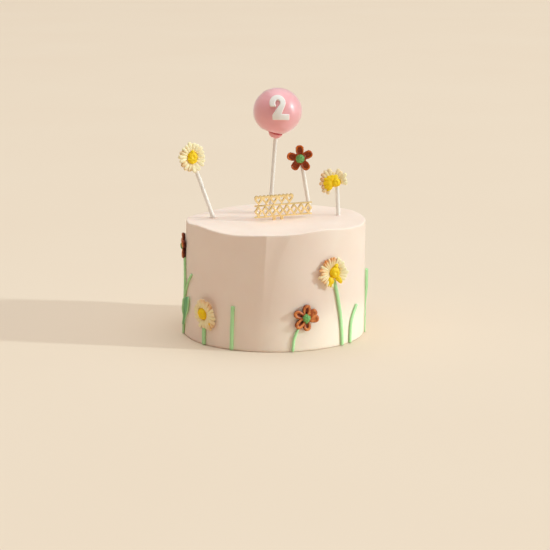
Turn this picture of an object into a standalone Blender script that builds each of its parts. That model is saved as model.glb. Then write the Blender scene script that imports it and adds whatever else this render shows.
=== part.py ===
"""Birthday cake: an iced round cake with piped flowers on its side and toppers on sticks.

Metres, +Z up. The origin is the centre of the cake's base and the front faces -Y.
Angles round the cake are in degrees from +X, so the front is at -90.
"""
import math

import bmesh
import bpy
from mathutils import Matrix, Vector

MM = 0.001
UP = Vector((0, 0, 1))
GAP = 0.3 * MM

# The cake leans a little, and its rim rises and dips where the icing was pulled off.
CAKE_HEIGHT = 97.5 * MM
CAKE_BASE_RADIUS = 77.3 * MM
CAKE_TOP_RADIUS = 76.2 * MM
CAKE_LEAN = 1.8 * MM
CAKE_EDGE = 2.2 * MM
CAKE_SEGMENTS = 80
RIM_SWELLS = ((-58, 2.9, 18), (-148, 1.8, 12), (-115, -1.0, 12), (30, 1.0, 14), (146, -2.0, 25))

# Paper sticks that carry the toppers.
STICK_RADIUS = 1.75 * MM
STICK_SIDES = 14
STICK_DEPTH = 28 * MM

# Balloon: a paste ball on a stick, a knot under it and a raised number on it.
BALLOON_FOOT = Vector((-3.4, 22.7, 97.5)) * MM
BALLOON_CENTRE = Vector((3.2, 23.0, 186.6)) * MM
BALL_HALF_WIDTH = 20.8 * MM
BALL_HALF_HEIGHT = 19.8 * MM
BALL_FLAT_TILT = 16
BALL_FLAT_AT = 17.4 * MM
BALL_FLAT_KEEP = 0.3
BALL_HOLE_DEPTH = 12 * MM
KNOT_RADIUS = 5.8 * MM
KNOT_HEIGHT = 4.8 * MM
NUMBER_YAW = 0
NUMBER_PITCH = 7
NUMBER_RAISE = 1.9 * MM
NUMBER_SCALE = 0.92
NUMBER_LIFT = 0.2 * MM
NUMBER_CELL = 3.0 * MM

# Fretwork plate: hearts on a rail over a band of lozenges, on two legs.
PLATE_FOOT = Vector((3.5, -3.5, 97.5)) * MM
PLATE_YAW = 24
PLATE_LEFT = -21.5 * MM
PLATE_RIGHT = 31.5 * MM
PLATE_CLEAR = 2.6 * MM
PLATE_THICK = 1.8 * MM
RAIL_HEIGHT = 1.3 * MM
BAND_HEIGHT = 10.9 * MM
HEART_ROW_RIGHT = 14.0 * MM
HEART_ROW_HEIGHT = 8.3 * MM
HEARTS = 5
LOZENGES = 8
LEG_WIDTH = 2.6 * MM
LEG_SPREAD = 7.0 * MM
LEG_DEPTH = 20 * MM

# Piped green lines on the side of the cake.
STEM_WIDTH = 3.2 * MM
STEM_THICK = 2.4 * MM
STEM_FOOT = 0.4
STROKE_SIDES = 8


def clear_scene():
    for old in list(bpy.data.objects):
        bpy.data.objects.remove(old, do_unlink=True)


def linear(channel):
    """One sRGB channel, 0 to 255, as linear light."""
    value = channel / 255
    return value / 12.92 if value <= 0.04045 else ((value + 0.055) / 1.055) ** 2.4


def make_material(name, rgb, roughness, metallic=0.0):
    material = bpy.data.materials.new(name)
    material.use_nodes = True
    shader = material.node_tree.nodes["Principled BSDF"]
    shader.inputs["Base Color"].default_value = [linear(c) for c in rgb] + [1]
    shader.inputs["Roughness"].default_value = roughness
    shader.inputs["Metallic"].default_value = metallic
    return material


def add_object(name, vertices, faces, material, sharp_angle=45):
    """A mesh object with its faces pointing out, smooth but for its sharp edges."""
    mesh = bpy.data.meshes.new(name)
    mesh.from_pydata([tuple(v) for v in vertices], [], faces)
    work = bmesh.new()
    work.from_mesh(mesh)
    bmesh.ops.recalc_face_normals(work, faces=work.faces)
    work.to_mesh(mesh)
    work.free()
    mesh.shade_smooth()
    mesh.set_sharp_from_angle(angle=math.radians(sharp_angle))
    if material:
        mesh.materials.append(material)
    piece = bpy.data.objects.new(name, mesh)
    bpy.context.collection.objects.link(piece)
    return piece


def make_cutter(piece):
    piece.hide_render = True
    piece.display_type = "WIRE"
    return piece


def add_boolean(piece, others, operation):
    """Cut others out of the piece, or join them to it, as one collection."""
    group = bpy.data.collections.new(piece.name + "_tools")
    for other in others:
        group.objects.link(make_cutter(other))
    modifier = piece.modifiers.new(operation.lower(), "BOOLEAN")
    modifier.operation = operation
    modifier.operand_type = "COLLECTION"
    modifier.collection = group
    modifier.solver = "EXACT"


def loft(rings, ring_of_rings=False):
    """Faces between rings of equal count, closed by end faces unless the rings close on themselves."""
    count = len(rings[0])
    vertices = [point for ring in rings for point in ring]
    faces = []
    for start in range(len(rings) if ring_of_rings else len(rings) - 1):
        a = start * count
        b = (start + 1) % len(rings) * count
        for j in range(count):
            k = (j + 1) % count
            faces.append((a + j, a + k, b + k, b + j))
    if not ring_of_rings:
        faces.append(tuple(range(count)))
        faces.append(tuple(range(len(vertices) - count, len(vertices))))
    return vertices, faces


def turned(profile, segments):
    """Rings of a shape turned about Z from (radius, height) pairs."""
    rings = []
    for radius, height in profile:
        ring = []
        for i in range(segments):
            turn = math.tau * i / segments
            ring.append(Vector((radius * math.cos(turn), radius * math.sin(turn), height)))
        rings.append(ring)
    return rings


def frame_from(origin, normal, upward=UP):
    """Matrix whose Z is the normal and whose Y is as near to upward as it can be."""
    z_axis = normal.normalized()
    x_axis = upward.cross(z_axis).normalized()
    y_axis = z_axis.cross(x_axis)
    return Matrix.Translation(origin) @ Matrix((x_axis, y_axis, z_axis)).transposed().to_4x4()


def facing(yaw, pitch):
    """Direction that faces the front, turned to the right by yaw and up by pitch."""
    turn = math.radians(yaw)
    lift = math.radians(pitch)
    return Vector((math.sin(turn) * math.cos(lift), -math.cos(turn) * math.cos(lift), math.sin(lift)))


def on_side(angle, height, out=0.0):
    """Point on the cake's side, or that far out from it."""
    part = height / CAKE_HEIGHT
    radius = CAKE_BASE_RADIUS + (CAKE_TOP_RADIUS - CAKE_BASE_RADIUS) * part + out
    turn = math.radians(angle)
    return Vector((CAKE_LEAN * part + radius * math.cos(turn), radius * math.sin(turn), height))


def side_frame(angle, height, out, turn=0.0, pitch=0.0):
    """Frame of a flower on the side, turned anticlockwise from above and pitched up."""
    way = math.radians(angle + turn)
    lift = math.radians(pitch)
    normal = Vector((math.cos(way) * math.cos(lift), math.sin(way) * math.cos(lift), math.sin(lift)))
    return frame_from(on_side(angle, height, out), normal)


def rim_lift(angle):
    """How far the rim stands above the mean height at that angle."""
    lift = 0.0
    for centre, height, width in RIM_SWELLS:
        away = (angle - centre + 180) % 360 - 180
        lift += height * MM * math.exp(-(away / width) ** 2)
    return lift


def make_cake(material):
    """Upright side, rounded edge and a top that dips in from the uneven rim."""
    side_heights = (0, 0.45, 0.88)
    edge_turns = (0, 35, 65, 90)
    top_fractions = (0.92, 0.78, 0.55, 0.25)
    rings = [[] for _ in range(len(side_heights) + len(edge_turns) + len(top_fractions))]
    for i in range(CAKE_SEGMENTS):
        angle = 360 * i / CAKE_SEGMENTS
        lift = rim_lift(angle)
        column = [on_side(angle, part * CAKE_HEIGHT) for part in side_heights]
        for turn in edge_turns:
            inset = CAKE_EDGE * (1 - math.cos(math.radians(turn)))
            drop = CAKE_EDGE * (1 - math.sin(math.radians(turn)))
            column.append(on_side(angle, CAKE_HEIGHT - drop, -inset) + UP * lift)
        for part in top_fractions:
            flat = on_side(angle, CAKE_HEIGHT, -CAKE_TOP_RADIUS * (1 - part))
            column.append(flat + UP * lift * part ** 5)
        for ring, point in zip(rings, column):
            ring.append(point)
    return add_object("cake_body", *loft(rings), material, 50)


def make_stick(name, foot, end, material, depth=STICK_DEPTH):
    """Round stick from inside the cake to its end, and the drill for its hole."""
    axis = (end - foot).normalized()
    start = foot - axis * depth
    length = (end - start).length
    frame = frame_from(start, axis, Vector((0, 1, 0)))
    body = turned(((STICK_RADIUS, 0), (STICK_RADIUS, length)), STICK_SIDES)
    stick = add_object(name, *loft(body), material)
    stick.matrix_world = frame
    drill_radius = STICK_RADIUS + GAP
    drill_shape = turned(((drill_radius, -GAP), (drill_radius, length + GAP)), STICK_SIDES)
    drill = make_cutter(add_object(name + "_drill", *loft(drill_shape), None))
    drill.matrix_world = frame
    return drill


def ball_point(direction, out=0.0):
    """Point of the balloon's skin in a direction from its centre, flatter where the knot is."""
    way = direction.normalized()
    across = (way.x ** 2 + way.y ** 2) / BALL_HALF_WIDTH ** 2
    radius = 1 / math.sqrt(across + way.z ** 2 / BALL_HALF_HEIGHT ** 2)
    tilt = math.radians(BALL_FLAT_TILT)
    facing_flat = way.dot(Vector((-math.sin(tilt), 0, -math.cos(tilt))))
    if radius * facing_flat > BALL_FLAT_AT:
        radius -= (1 - BALL_FLAT_KEEP) * (radius - BALL_FLAT_AT / facing_flat)
    return BALLOON_CENTRE + way * (radius + out)


def make_balloon(paste, knot_paste, number_paste, paper):
    columns = 26
    rows = 14
    rings = []
    for row in range(1, rows):
        fall = math.pi * row / rows
        ring = []
        for i in range(columns):
            turn = math.tau * i / columns
            way = Vector((math.sin(fall) * math.cos(turn), math.sin(fall) * math.sin(turn), math.cos(fall)))
            ring.append(ball_point(way))
        rings.append(ring)
    ball = add_object("balloon_ball", *loft(rings), paste, 60)

    down = (BALLOON_FOOT - BALLOON_CENTRE).normalized()
    under = ball_point(down, GAP)
    tilt = math.radians(BALL_FLAT_TILT)
    knot_profile = ((0.78, 0), (0.97, -0.2), (1.0, -0.38), (0.9, -0.64), (0.68, -0.86), (0.45, -1.0))
    knot_shape = turned([(r * KNOT_RADIUS, h * KNOT_HEIGHT) for r, h in knot_profile], 14)
    knot = add_object("balloon_knot", *loft(knot_shape), knot_paste, 60)
    knot.matrix_world = frame_from(under, Vector((math.sin(tilt), 0, math.cos(tilt))), Vector((0, 1, 0)))

    stick_end = BALLOON_CENTRE + down * ((under - BALLOON_CENTRE).length - BALL_HOLE_DEPTH)
    drill = make_stick("balloon_stick", BALLOON_FOOT, stick_end, paper)
    add_boolean(ball, [drill], "DIFFERENCE")
    add_boolean(knot, [drill], "DIFFERENCE")
    make_number(number_paste)
    return drill


def arc(centre, radii, start, end, steps):
    """Points along part of an ellipse, angles in degrees."""
    points = []
    for i in range(steps + 1):
        turn = math.radians(start + (end - start) * i / steps)
        points.append((centre[0] + radii[0] * math.cos(turn), centre[1] + radii[1] * math.sin(turn)))
    return points


def number_outline():
    """Outline of a plain rounded 2 in millimetres, as it is seen from the front."""
    outer = arc((-0.1, 7.0), (7.0, 6.9), 205, -18, 14)
    foot = [(3.4, -2.7), (10.1, -3.1), (10.0, -8.0), (-4.3, -7.7), (-4.6, -3.5)]
    inner = arc((0, 6.9), (2.1, 2.7), -28, 200, 8)
    hook = [(-1.6, 4.3)]
    return outer + foot + inner + hook


def make_number(material):
    """The flat outline cut into small cells, thickened and laid round the ball."""
    outline = number_outline()
    work = bmesh.new()
    scale = NUMBER_SCALE * MM
    corners = [work.verts.new((x * scale, y * scale + NUMBER_LIFT, 0)) for x, y in outline]
    work.faces.new(corners)
    bmesh.ops.triangulate(work, faces=work.faces[:])
    for axis in (Vector((1, 0, 0)), Vector((0, 1, 0))):
        values = [point.co.dot(axis) for point in work.verts]
        level = min(values) + NUMBER_CELL
        while level < max(values) - NUMBER_CELL / 2:
            geometry = work.verts[:] + work.edges[:] + work.faces[:]
            bmesh.ops.bisect_plane(work, geom=geometry, plane_co=axis * level, plane_no=axis, dist=0.1 * MM)
            level += NUMBER_CELL
    bmesh.ops.triangulate(work, faces=work.faces[:])
    raised = bmesh.ops.extrude_face_region(work, geom=work.faces[:])
    for item in raised["geom"]:
        if isinstance(item, bmesh.types.BMVert):
            item.co.z = 1
    frame = frame_from(Vector((0, 0, 0)), facing(NUMBER_YAW, NUMBER_PITCH)).to_3x3()
    for vertex in work.verts:
        x, y, side = vertex.co
        depth = math.sqrt(BALL_HALF_WIDTH ** 2 - x * x - y * y)
        out = GAP + NUMBER_RAISE * (side > 0.5)
        vertex.co = ball_point(frame @ Vector((x, y, depth)), out)
    mesh = bpy.data.meshes.new("number")
    work.to_mesh(mesh)
    work.free()
    vertices = [vertex.co.copy() for vertex in mesh.vertices]
    faces = [tuple(face.vertices) for face in mesh.polygons]
    add_object("balloon_number", vertices, faces, material, 35)


def prism(name, outline, thick, hole=None, material=None):
    """Upright slab of an outline given in the plate's plane, with an equal-count hole or none."""
    half = thick / 2
    front = [Vector((x, y, half)) for x, y in outline]
    back = [Vector((x, y, -half)) for x, y in outline]
    if hole is None:
        return add_object(name, *loft([back, front]), material, 30)
    hole_front = [Vector((x, y, half)) for x, y in hole]
    hole_back = [Vector((x, y, -half)) for x, y in hole]
    return add_object(name, *loft([back, front, hole_front, hole_back], True), material, 30)


def rectangle(left, right, low, high):
    return [(left, low), (right, low), (right, high), (left, high)]


def heart(centre_x, low, width, height, steps=12):
    """Heart with its point at the bottom."""
    points = []
    for i in range(steps):
        turn = math.tau * i / steps
        x = math.sin(turn) ** 3
        y = (13 * math.cos(turn) - 5 * math.cos(2 * turn) - 2 * math.cos(3 * turn) - math.cos(4 * turn)) / 29
        points.append((centre_x + x * width / 2, low + (y + 17 / 29) * height))
    return points


def lozenge(centre_x, centre_y, width, height):
    half_w = width / 2
    half_h = height / 2
    return [(centre_x - half_w, centre_y), (centre_x, centre_y - half_h),
            (centre_x + half_w, centre_y), (centre_x, centre_y + half_h)]


def make_plate(material):
    """Rails, lozenges, hearts and legs joined into one plate, and the slots of its legs."""
    low = PLATE_CLEAR
    band_top = low + BAND_HEIGHT
    rail = prism("topper_plate", rectangle(PLATE_LEFT, PLATE_RIGHT, low, low + RAIL_HEIGHT),
                 PLATE_THICK - 0.3 * MM, None, material)
    upper_rail = rectangle(PLATE_LEFT, PLATE_RIGHT, band_top - RAIL_HEIGHT, band_top)
    joined = [prism("plate_rail", upper_rail, PLATE_THICK - 0.2 * MM)]
    pitch = (PLATE_RIGHT - PLATE_LEFT) / LOZENGES
    middle = low + BAND_HEIGHT / 2
    for i in range(LOZENGES):
        x = PLATE_LEFT + pitch * (i + 0.5)
        tall = BAND_HEIGHT - 0.7 * MM
        wide = pitch + 0.5 * MM
        hole = lozenge(x, middle, wide * 0.5, tall * 0.5)
        thick = PLATE_THICK - 0.1 * (i % 2) * MM
        joined.append(prism("plate_lozenge", lozenge(x, middle, wide, tall), thick, hole))
    heart_pitch = (HEART_ROW_RIGHT - PLATE_LEFT) / HEARTS
    for i in range(HEARTS):
        x = PLATE_LEFT + heart_pitch * (i + 0.5)
        tall = HEART_ROW_HEIGHT + 0.6 * MM
        wide = heart_pitch + 0.3 * MM
        base = band_top - 0.6 * MM
        hole = heart(x, base + tall * 0.32, wide * 0.46, tall * 0.42)
        thick = PLATE_THICK - 0.1 * (i % 2) * MM
        joined.append(prism("plate_heart", heart(x, base, wide, tall), thick, hole))
    slots = []
    for side in (-1, 1):
        x = side * LEG_SPREAD / 2
        leg = rectangle(x - LEG_WIDTH / 2, x + LEG_WIDTH / 2, -LEG_DEPTH, low + 1.0 * MM)
        joined.append(prism("plate_leg", leg, PLATE_THICK - 0.6 * MM))
        slot = rectangle(x - LEG_WIDTH / 2 - GAP, x + LEG_WIDTH / 2 + GAP, -LEG_DEPTH - GAP, low)
        slots.append(make_cutter(prism("plate_slot", slot, PLATE_THICK)))
    frame = frame_from(PLATE_FOOT, facing(PLATE_YAW, 0))
    for piece in [rail] + joined + slots:
        piece.matrix_world = frame
    add_boolean(rail, joined, "UNION")
    return slots


def make_daisy(name, frame, materials, radius, petals, gap, cup, dome_radius, dome_height,
               dome_shift=0.0, seed=0.0):
    """Fringe of thin petals round a yellow dome; the gap is the open part in degrees, or None.

    Cup is how far the petal tips stand in front of the dome's foot.  The dome may stand off to
    one side, and the fringe's inner edge follows it.
    """
    petal_material, centre_material = materials
    per_petal = 3
    start = gap[1] if gap else 0
    sweep = 360 - (gap[1] - gap[0]) if gap else 360
    stations = petals * per_petal + (1 if gap else 0)
    clear = dome_radius + GAP
    sections = []
    for i in range(stations):
        phase = i / per_petal
        bulge = abs(math.sin(math.pi * phase))
        uneven = 1 + 0.045 * math.sin(2.4 * math.floor(phase) + seed)
        tip = radius * (0.9 + 0.12 * bulge) * uneven
        ridge = 0.8 * MM * (bulge - 0.5)
        turn = math.radians(start + sweep * i / (stations - (1 if gap else 0)))
        inner = dome_shift * math.cos(turn) + math.sqrt(clear ** 2 - (dome_shift * math.sin(turn)) ** 2)
        middle = 0.6 * inner + 0.4 * tip
        profile = ((inner, 0), (inner, 2.2 * MM), (middle, 2.6 * MM + 0.35 * cup + ridge),
                   (tip * 0.95, 1.7 * MM + cup + ridge), (tip, 0.8 * MM + cup),
                   (middle, 0.1 * MM + 0.3 * cup))
        sections.append([Vector((r * math.cos(turn), r * math.sin(turn), w)) for r, w in profile])
    fringe = add_object(name + "_petals", *loft(sections, gap is None), petal_material, 60)
    fringe.matrix_world = frame

    dome_profile = ((0.8, 0), (1.0, 0.25), (0.96, 0.55), (0.74, 0.85), (0.42, 1.0), (0.16, 0.93))
    dome_shape = turned([(r * dome_radius, h * dome_height) for r, h in dome_profile], 12)
    dome = add_object(name + "_centre", *loft(dome_shape), centre_material, 60)
    dome.matrix_world = frame @ Matrix.Translation((dome_shift, 0, 0))
    return dome


def petal_reach(away, petal_centre, half_long, half_wide):
    """Far edge of an oval petal, seen from the flower's centre at an angle from the petal's axis."""
    a = math.cos(away) ** 2 / half_long ** 2 + math.sin(away) ** 2 / half_wide ** 2
    b = -2 * petal_centre * math.cos(away) / half_long ** 2
    c = petal_centre ** 2 / half_long ** 2 - 1
    inside = b * b - 4 * a * c
    return (-b + math.sqrt(inside)) / (2 * a) if inside > 0 else 0.0


def flower_outline(axes, radius, petal_width):
    """(turn, reach, share off the petal's axis) round a flower of oval petals at uneven angles."""
    core = 0.4 * radius
    half_long = 0.36 * radius
    half_wide = petal_width / 2
    petal_centre = radius - half_long
    widest = 0.985 * math.atan(half_wide / math.sqrt(petal_centre ** 2 - half_long ** 2))
    outline = []
    for i, axis in enumerate(axes):
        before = math.radians((axis - axes[i - 1]) % 360) / 2
        after = math.radians((axes[(i + 1) % len(axes)] - axis) % 360) / 2
        for part in (-1, -0.9, -0.62, -0.25, 0.25, 0.62, 0.9, 1):
            room = before if part < 0 else after
            step = part * min(widest, 0.94 * room)
            reach = max(petal_reach(step, petal_centre, half_long, half_wide), core)
            outline.append((math.radians(axis) + step, reach, abs(step) / widest))
        valley = max(core, 0.86 * petal_reach(after, petal_centre, half_long, half_wide))
        outline.append((math.radians(axis) + after, valley, 1.0))
    return outline


def make_flower(name, frame, materials, axes, radius, petal_width, groove, dome_radius=3.5 * MM,
                dome_shift=0.0):
    """Flower of oval petals on a core, hollowed along each petal, with a green dome in front."""
    petal_material, centre_material = materials
    thick = 3.0 * MM
    outline = flower_outline(axes, radius, petal_width)
    levels = ((0.3, 0.72, 0), (0.64, 0.85, 1), (0.92, 1.0, 0.3), (1.0, 0.6, 0))
    rings = []
    for fraction, height, hollowed in levels:
        ring = []
        for turn, reach, off_axis in outline:
            dip = groove * hollowed * (1 - off_axis ** 2)
            distance = reach * fraction
            ring.append(Vector((distance * math.cos(turn), distance * math.sin(turn), thick * height - dip)))
        rings.append(ring)
    underside = []
    for turn, reach, _ in outline:
        underside.append(Vector((0.9 * reach * math.cos(turn), 0.9 * reach * math.sin(turn), 0)))
    rings.append(underside)
    flower = add_object(name + "_petals", *loft(rings), petal_material, 60)
    flower.matrix_world = frame

    dome_foot = thick * 0.85 + GAP
    dome_height = 2.4 * MM
    dome_profile = ((0.7, 0), (1.0, 0.3), (0.9, 0.65), (0.62, 0.9), (0.25, 1.0))
    dome_shape = turned([(r * dome_radius, dome_foot + h * dome_height) for r, h in dome_profile], 12)
    dome = add_object(name + "_centre", *loft(dome_shape), centre_material, 60)
    dome.matrix_world = frame @ Matrix.Translation((dome_shift, 0, 0))


def smooth_route(points, count):
    """Points at even steps of a smooth curve through the given pairs."""
    padded = [points[0]] + list(points) + [points[-1]]
    route = []
    for i in range(count):
        place = i / (count - 1) * (len(points) - 1)
        leg = min(int(place), len(points) - 2)
        t = place - leg
        p0, p1, p2, p3 = padded[leg:leg + 4]
        pair = []
        for a, b, c, d in zip(p0, p1, p2, p3):
            pair.append(0.5 * (2 * b + (c - a) * t + (2 * a - 5 * b + 4 * c - d) * t * t
                               + (3 * b - a - 3 * c + d) * t ** 3))
        route.append(pair)
    return route


def make_stroke(name, route, material, width=STEM_WIDTH, thick=STEM_THICK, stations=10, shape=None):
    """Line of icing laid on the side along (angle, height in mm) points, with rounded ends.

    Shape gives the share of the full width from one end, 0, to the other, 1.
    """
    points = smooth_route(route, stations)
    rings = []
    for i, (angle, height) in enumerate(points):
        part = i / (stations - 1)
        share = shape(part) if shape else 1.0
        share *= 0.62 if i in (0, stations - 1) else 1.0
        before = points[max(i - 1, 0)]
        after = points[min(i + 1, stations - 1)]
        along = (on_side(after[0], after[1] * MM) - on_side(before[0], before[1] * MM)).normalized()
        centre = on_side(angle, height * MM, GAP + thick / 2)
        outward = Vector((math.cos(math.radians(angle)), math.sin(math.radians(angle)), 0))
        across = along.cross(outward).normalized()
        depth = thick / 2 * (0.6 if i in (0, stations - 1) else 1.0)
        ring = []
        for j in range(STROKE_SIDES):
            turn = math.tau * (j + 0.5) / STROKE_SIDES
            sideways = across * width / 2 * share * math.cos(turn)
            ring.append(centre + sideways + outward * depth * math.sin(turn))
        rings.append(ring)
    low = min(point.z for ring in rings for point in ring)
    if low < STEM_FOOT * MM:
        for ring in rings:
            for point in ring:
                point.z = max(point.z, STEM_FOOT * MM)
    return add_object(name, *loft(rings), material, 60)


def leaf_shape(part):
    """Share of a leaf's width: a stalk, then a broad blade with a blunt tip."""
    return 0.35 + 0.65 * math.sin(math.pi * min(max((part - 0.25) / 0.8, 0), 1)) ** 1.3


def thin_top(part):
    """A stem that narrows where it runs in under its flower."""
    return 1.0 - 0.5 * max(0.0, part - 0.8) / 0.2


def long_leaf_shape(part):
    """A thin stalk over the lower half that swells into a narrow leaf near the top."""
    return 0.4 + 0.6 * math.exp(-((part - 0.8) / 0.2) ** 2)


def make_side_decor(green, daisy_paste, brown_paste):
    make_daisy("side_daisy_big", side_frame(-53.2, 64.0 * MM, 0.5 * MM, -8, 3), daisy_paste, 13.9 * MM, 20,
               (-92, -50), 3.4 * MM, 4.8 * MM, 7.4 * MM, 1.4 * MM)
    make_stroke("side_daisy_big_stem", ((-43.0, 0.4), (-43.2, 9.9), (-44.8, 26.7), (-47.6, 43.5),
                                        (-50.2, 54.5), (-51.4, 57.2)), green, stations=13, shape=thin_top)

    make_daisy("side_daisy_small", side_frame(-136.8, 27.0 * MM, 0.5 * MM), daisy_paste, 12.6 * MM, 20, None,
               0.8 * MM, 4.4 * MM, 5.4 * MM, -1.6 * MM, 1.3)
    make_stroke("side_daisy_small_stem", ((-137.4, 0.4), (-137.5, 7.0), (-137.7, 13.6)), green,
                3.6 * MM, stations=5)

    make_flower("side_flower_front", side_frame(-71.0, 28.4 * MM, 0.5 * MM, -2), brown_paste,
                (33, 83, 152, 223, 279.5, 354), 11.0 * MM, 7.2 * MM, 1.1 * MM, 3.1 * MM, 0.8 * MM)
    make_stroke("side_flower_front_stem", ((-78.6, 0.4), (-78.1, 11.4), (-75.9, 18.6)), green,
                2.9 * MM, stations=7)

    make_flower("side_flower_edge", side_frame(-176, 75.4 * MM, 0.5 * MM), brown_paste,
                (20, 92, 164, 236, 308), 11.6 * MM, 7.4 * MM, 0.8 * MM)
    make_stroke("side_flower_edge_stem", ((-170.6, 0.4), (-169.4, 20.0), (-168.0, 39.0), (-169.0, 55.0),
                                          (-172.0, 63.4)), green, 2.9 * MM, stations=10)
    make_stroke("edge_sprig", ((-163.9, 36.6), (-162.3, 43.3), (-159.2, 49.8), (-154.2, 56.3)), green,
                2.4 * MM, 2.0 * MM, 8)
    make_stroke("edge_leaf", ((-166.6, 10.5), (-164.6, 17.5), (-161.2, 26.0), (-159.8, 35.0)), green,
                8.0 * MM, 2.4 * MM, 9, leaf_shape)

    make_stroke("blade_front", ((-116.5, 0.4), (-116.5, 19.0), (-116.2, 37.5)), green, 3.3 * MM, stations=7)
    make_stroke("blade_right", ((-35.4, 0.4), (-35.2, 6.9), (-34.7, 16.8), (-32.1, 24.7), (-27.8, 31.5)),
                green, 2.8 * MM, stations=9)
    make_stroke("leaf_right", ((-6.5, 0.4), (-5.5, 25.0), (-4.0, 55.5)), green, 5.0 * MM, 1.9 * MM, 10,
                long_leaf_shape)


def make_back_decor(green, daisy_paste, brown_paste):
    """The far side carries the same kinds of flower, spaced as the near side's are."""
    make_daisy("back_daisy_big", side_frame(104, 60 * MM, 0.5 * MM), daisy_paste, 13.6 * MM, 18, (-108, -68),
               3.2 * MM, 4.8 * MM, 5.8 * MM, seed=2.1)
    make_stroke("back_daisy_big_stem", ((99.0, 0.4), (99.6, 18.0), (102.2, 38.0), (103.9, 50.0),
                                        (104.0, 53.8)), green, stations=12, shape=thin_top)
    make_daisy("back_daisy_small", side_frame(152, 33 * MM, 0.5 * MM), daisy_paste, 12.2 * MM, 18, None,
               0.8 * MM, 4.4 * MM, 4.8 * MM, seed=0.6)
    make_stroke("back_daisy_small_stem", ((153.5, 0.4), (153.0, 9.0), (152.4, 20.0)), green,
                3.4 * MM, stations=6)
    make_flower("back_flower", side_frame(60, 38 * MM, 0.5 * MM), brown_paste, (35, 92, 153, 212, 270, 331),
                11.0 * MM, 7.2 * MM, 1.1 * MM)
    make_stroke("back_flower_stem", ((56.0, 0.4), (56.6, 14.0), (58.9, 26.0)), green, 3.0 * MM, stations=7)
    make_stroke("blade_back_right", ((24, 0.4), (23.3, 17.0), (21.5, 33)), green, 3.0 * MM, stations=7)
    make_stroke("blade_back_middle", ((82, 0.4), (81.4, 14.0), (80, 28)), green, 3.0 * MM, stations=7)
    make_stroke("blade_back_left", ((129, 0.4), (129.6, 20.0), (131, 40)), green, 3.0 * MM, stations=7)


def make_toppers(paper, daisy_paste, brown_paste):
    """Flowers on sticks; returns the drills of their holes in the cake."""
    sunk = Matrix.Translation((0, 0, -2.3 * MM))
    left_foot = Vector((-51.7, 5.9, 97.5)) * MM
    left_centre = Vector((-69.9, 6.6, 149.5)) * MM
    left_end = left_centre + (left_foot - left_centre).normalized() * 2.0 * MM
    left_dome = make_daisy("topper_daisy_left", frame_from(left_centre, facing(27, 5)) @ sunk, daisy_paste,
                           12.8 * MM, 20, (-93, -50), 0.8 * MM, 4.8 * MM, 6.8 * MM, 0.4 * MM, 0.9)
    left_drill = make_stick("topper_daisy_left_stick", left_foot, left_end, paper)
    add_boolean(left_dome, [left_drill], "DIFFERENCE")

    right_foot = Vector((55.3, 16.4, 97.5)) * MM
    right_centre = Vector((51.3, 17.2, 125.9)) * MM
    right_end = Vector((54.2, 17.2, 124.5)) * MM
    right_dome = make_daisy("topper_daisy_right", frame_from(right_centre, facing(4, 8)) @ sunk, daisy_paste,
                            12.5 * MM, 15, (-112, -12), 0.8 * MM, 4.3 * MM, 6.2 * MM, 1.8 * MM, 0.3)
    right_drill = make_stick("topper_daisy_right_stick", right_foot, right_end, paper)
    add_boolean(right_dome, [right_drill], "DIFFERENCE")

    flower_centre = Vector((22.6, 26.0, 145.3)) * MM
    flower_facing = facing(0, 4)
    make_flower("topper_flower", frame_from(flower_centre, flower_facing), brown_paste,
                (27.5, 93, 166.8, 237, 307.3), 11.4 * MM, 6.5 * MM, 0.9 * MM, 3.8 * MM)
    behind = Vector((0.8 * MM, 0, 0)) - flower_facing * (STICK_RADIUS + GAP + 0.2 * MM)
    flower_foot = Vector((31.3, 29.2, 97.5)) * MM
    flower_drill = make_stick("topper_flower_stick", flower_foot, flower_centre + behind, paper)
    return [left_drill, right_drill, flower_drill]


def main():
    clear_scene()
    icing = make_material("side_icing", (250, 226, 206), 0.6)
    pink = make_material("balloon_paste", (240, 165, 170), 0.3)
    dark_pink = make_material("knot_paste", (222, 125, 122), 0.4)
    white = make_material("number_paste", (244, 238, 224), 0.5)
    gold = make_material("plate_gold", (240, 195, 125), 0.25, 1.0)
    paper = make_material("stick_paper", (250, 243, 232), 0.6)
    cream = make_material("petal_paste", (250, 235, 190), 0.6)
    yellow = make_material("centre_yellow", (250, 205, 30), 0.5)
    brown = make_material("petal_brown", (160, 70, 30), 0.5)
    green_centre = make_material("centre_green", (95, 165, 90), 0.5)
    green = make_material("stem_green", (165, 215, 150), 0.5)

    cake = make_cake(icing)
    drills = [make_balloon(pink, dark_pink, white, paper)]
    drills += make_toppers(paper, (cream, yellow), (brown, green_centre))
    slots = make_plate(gold)
    add_boolean(cake, drills + slots, "DIFFERENCE")
    make_side_decor(green, (cream, yellow), (brown, green_centre))
    make_back_decor(green, (cream, yellow), (brown, green_centre))


main()
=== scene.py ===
"""The birthday cake's finish: buttercream, paste flowers, a paste balloon and a gold plate.

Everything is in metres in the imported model's frame.  Angles round the cake are in degrees from +X,
so the front is at -90.
"""
import random
from math import atan, copysign, cos, exp, pi, radians, sin, sqrt, tau

import bmesh
import bpy
from mathutils import Matrix, Vector
from mathutils.noise import noise


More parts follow.
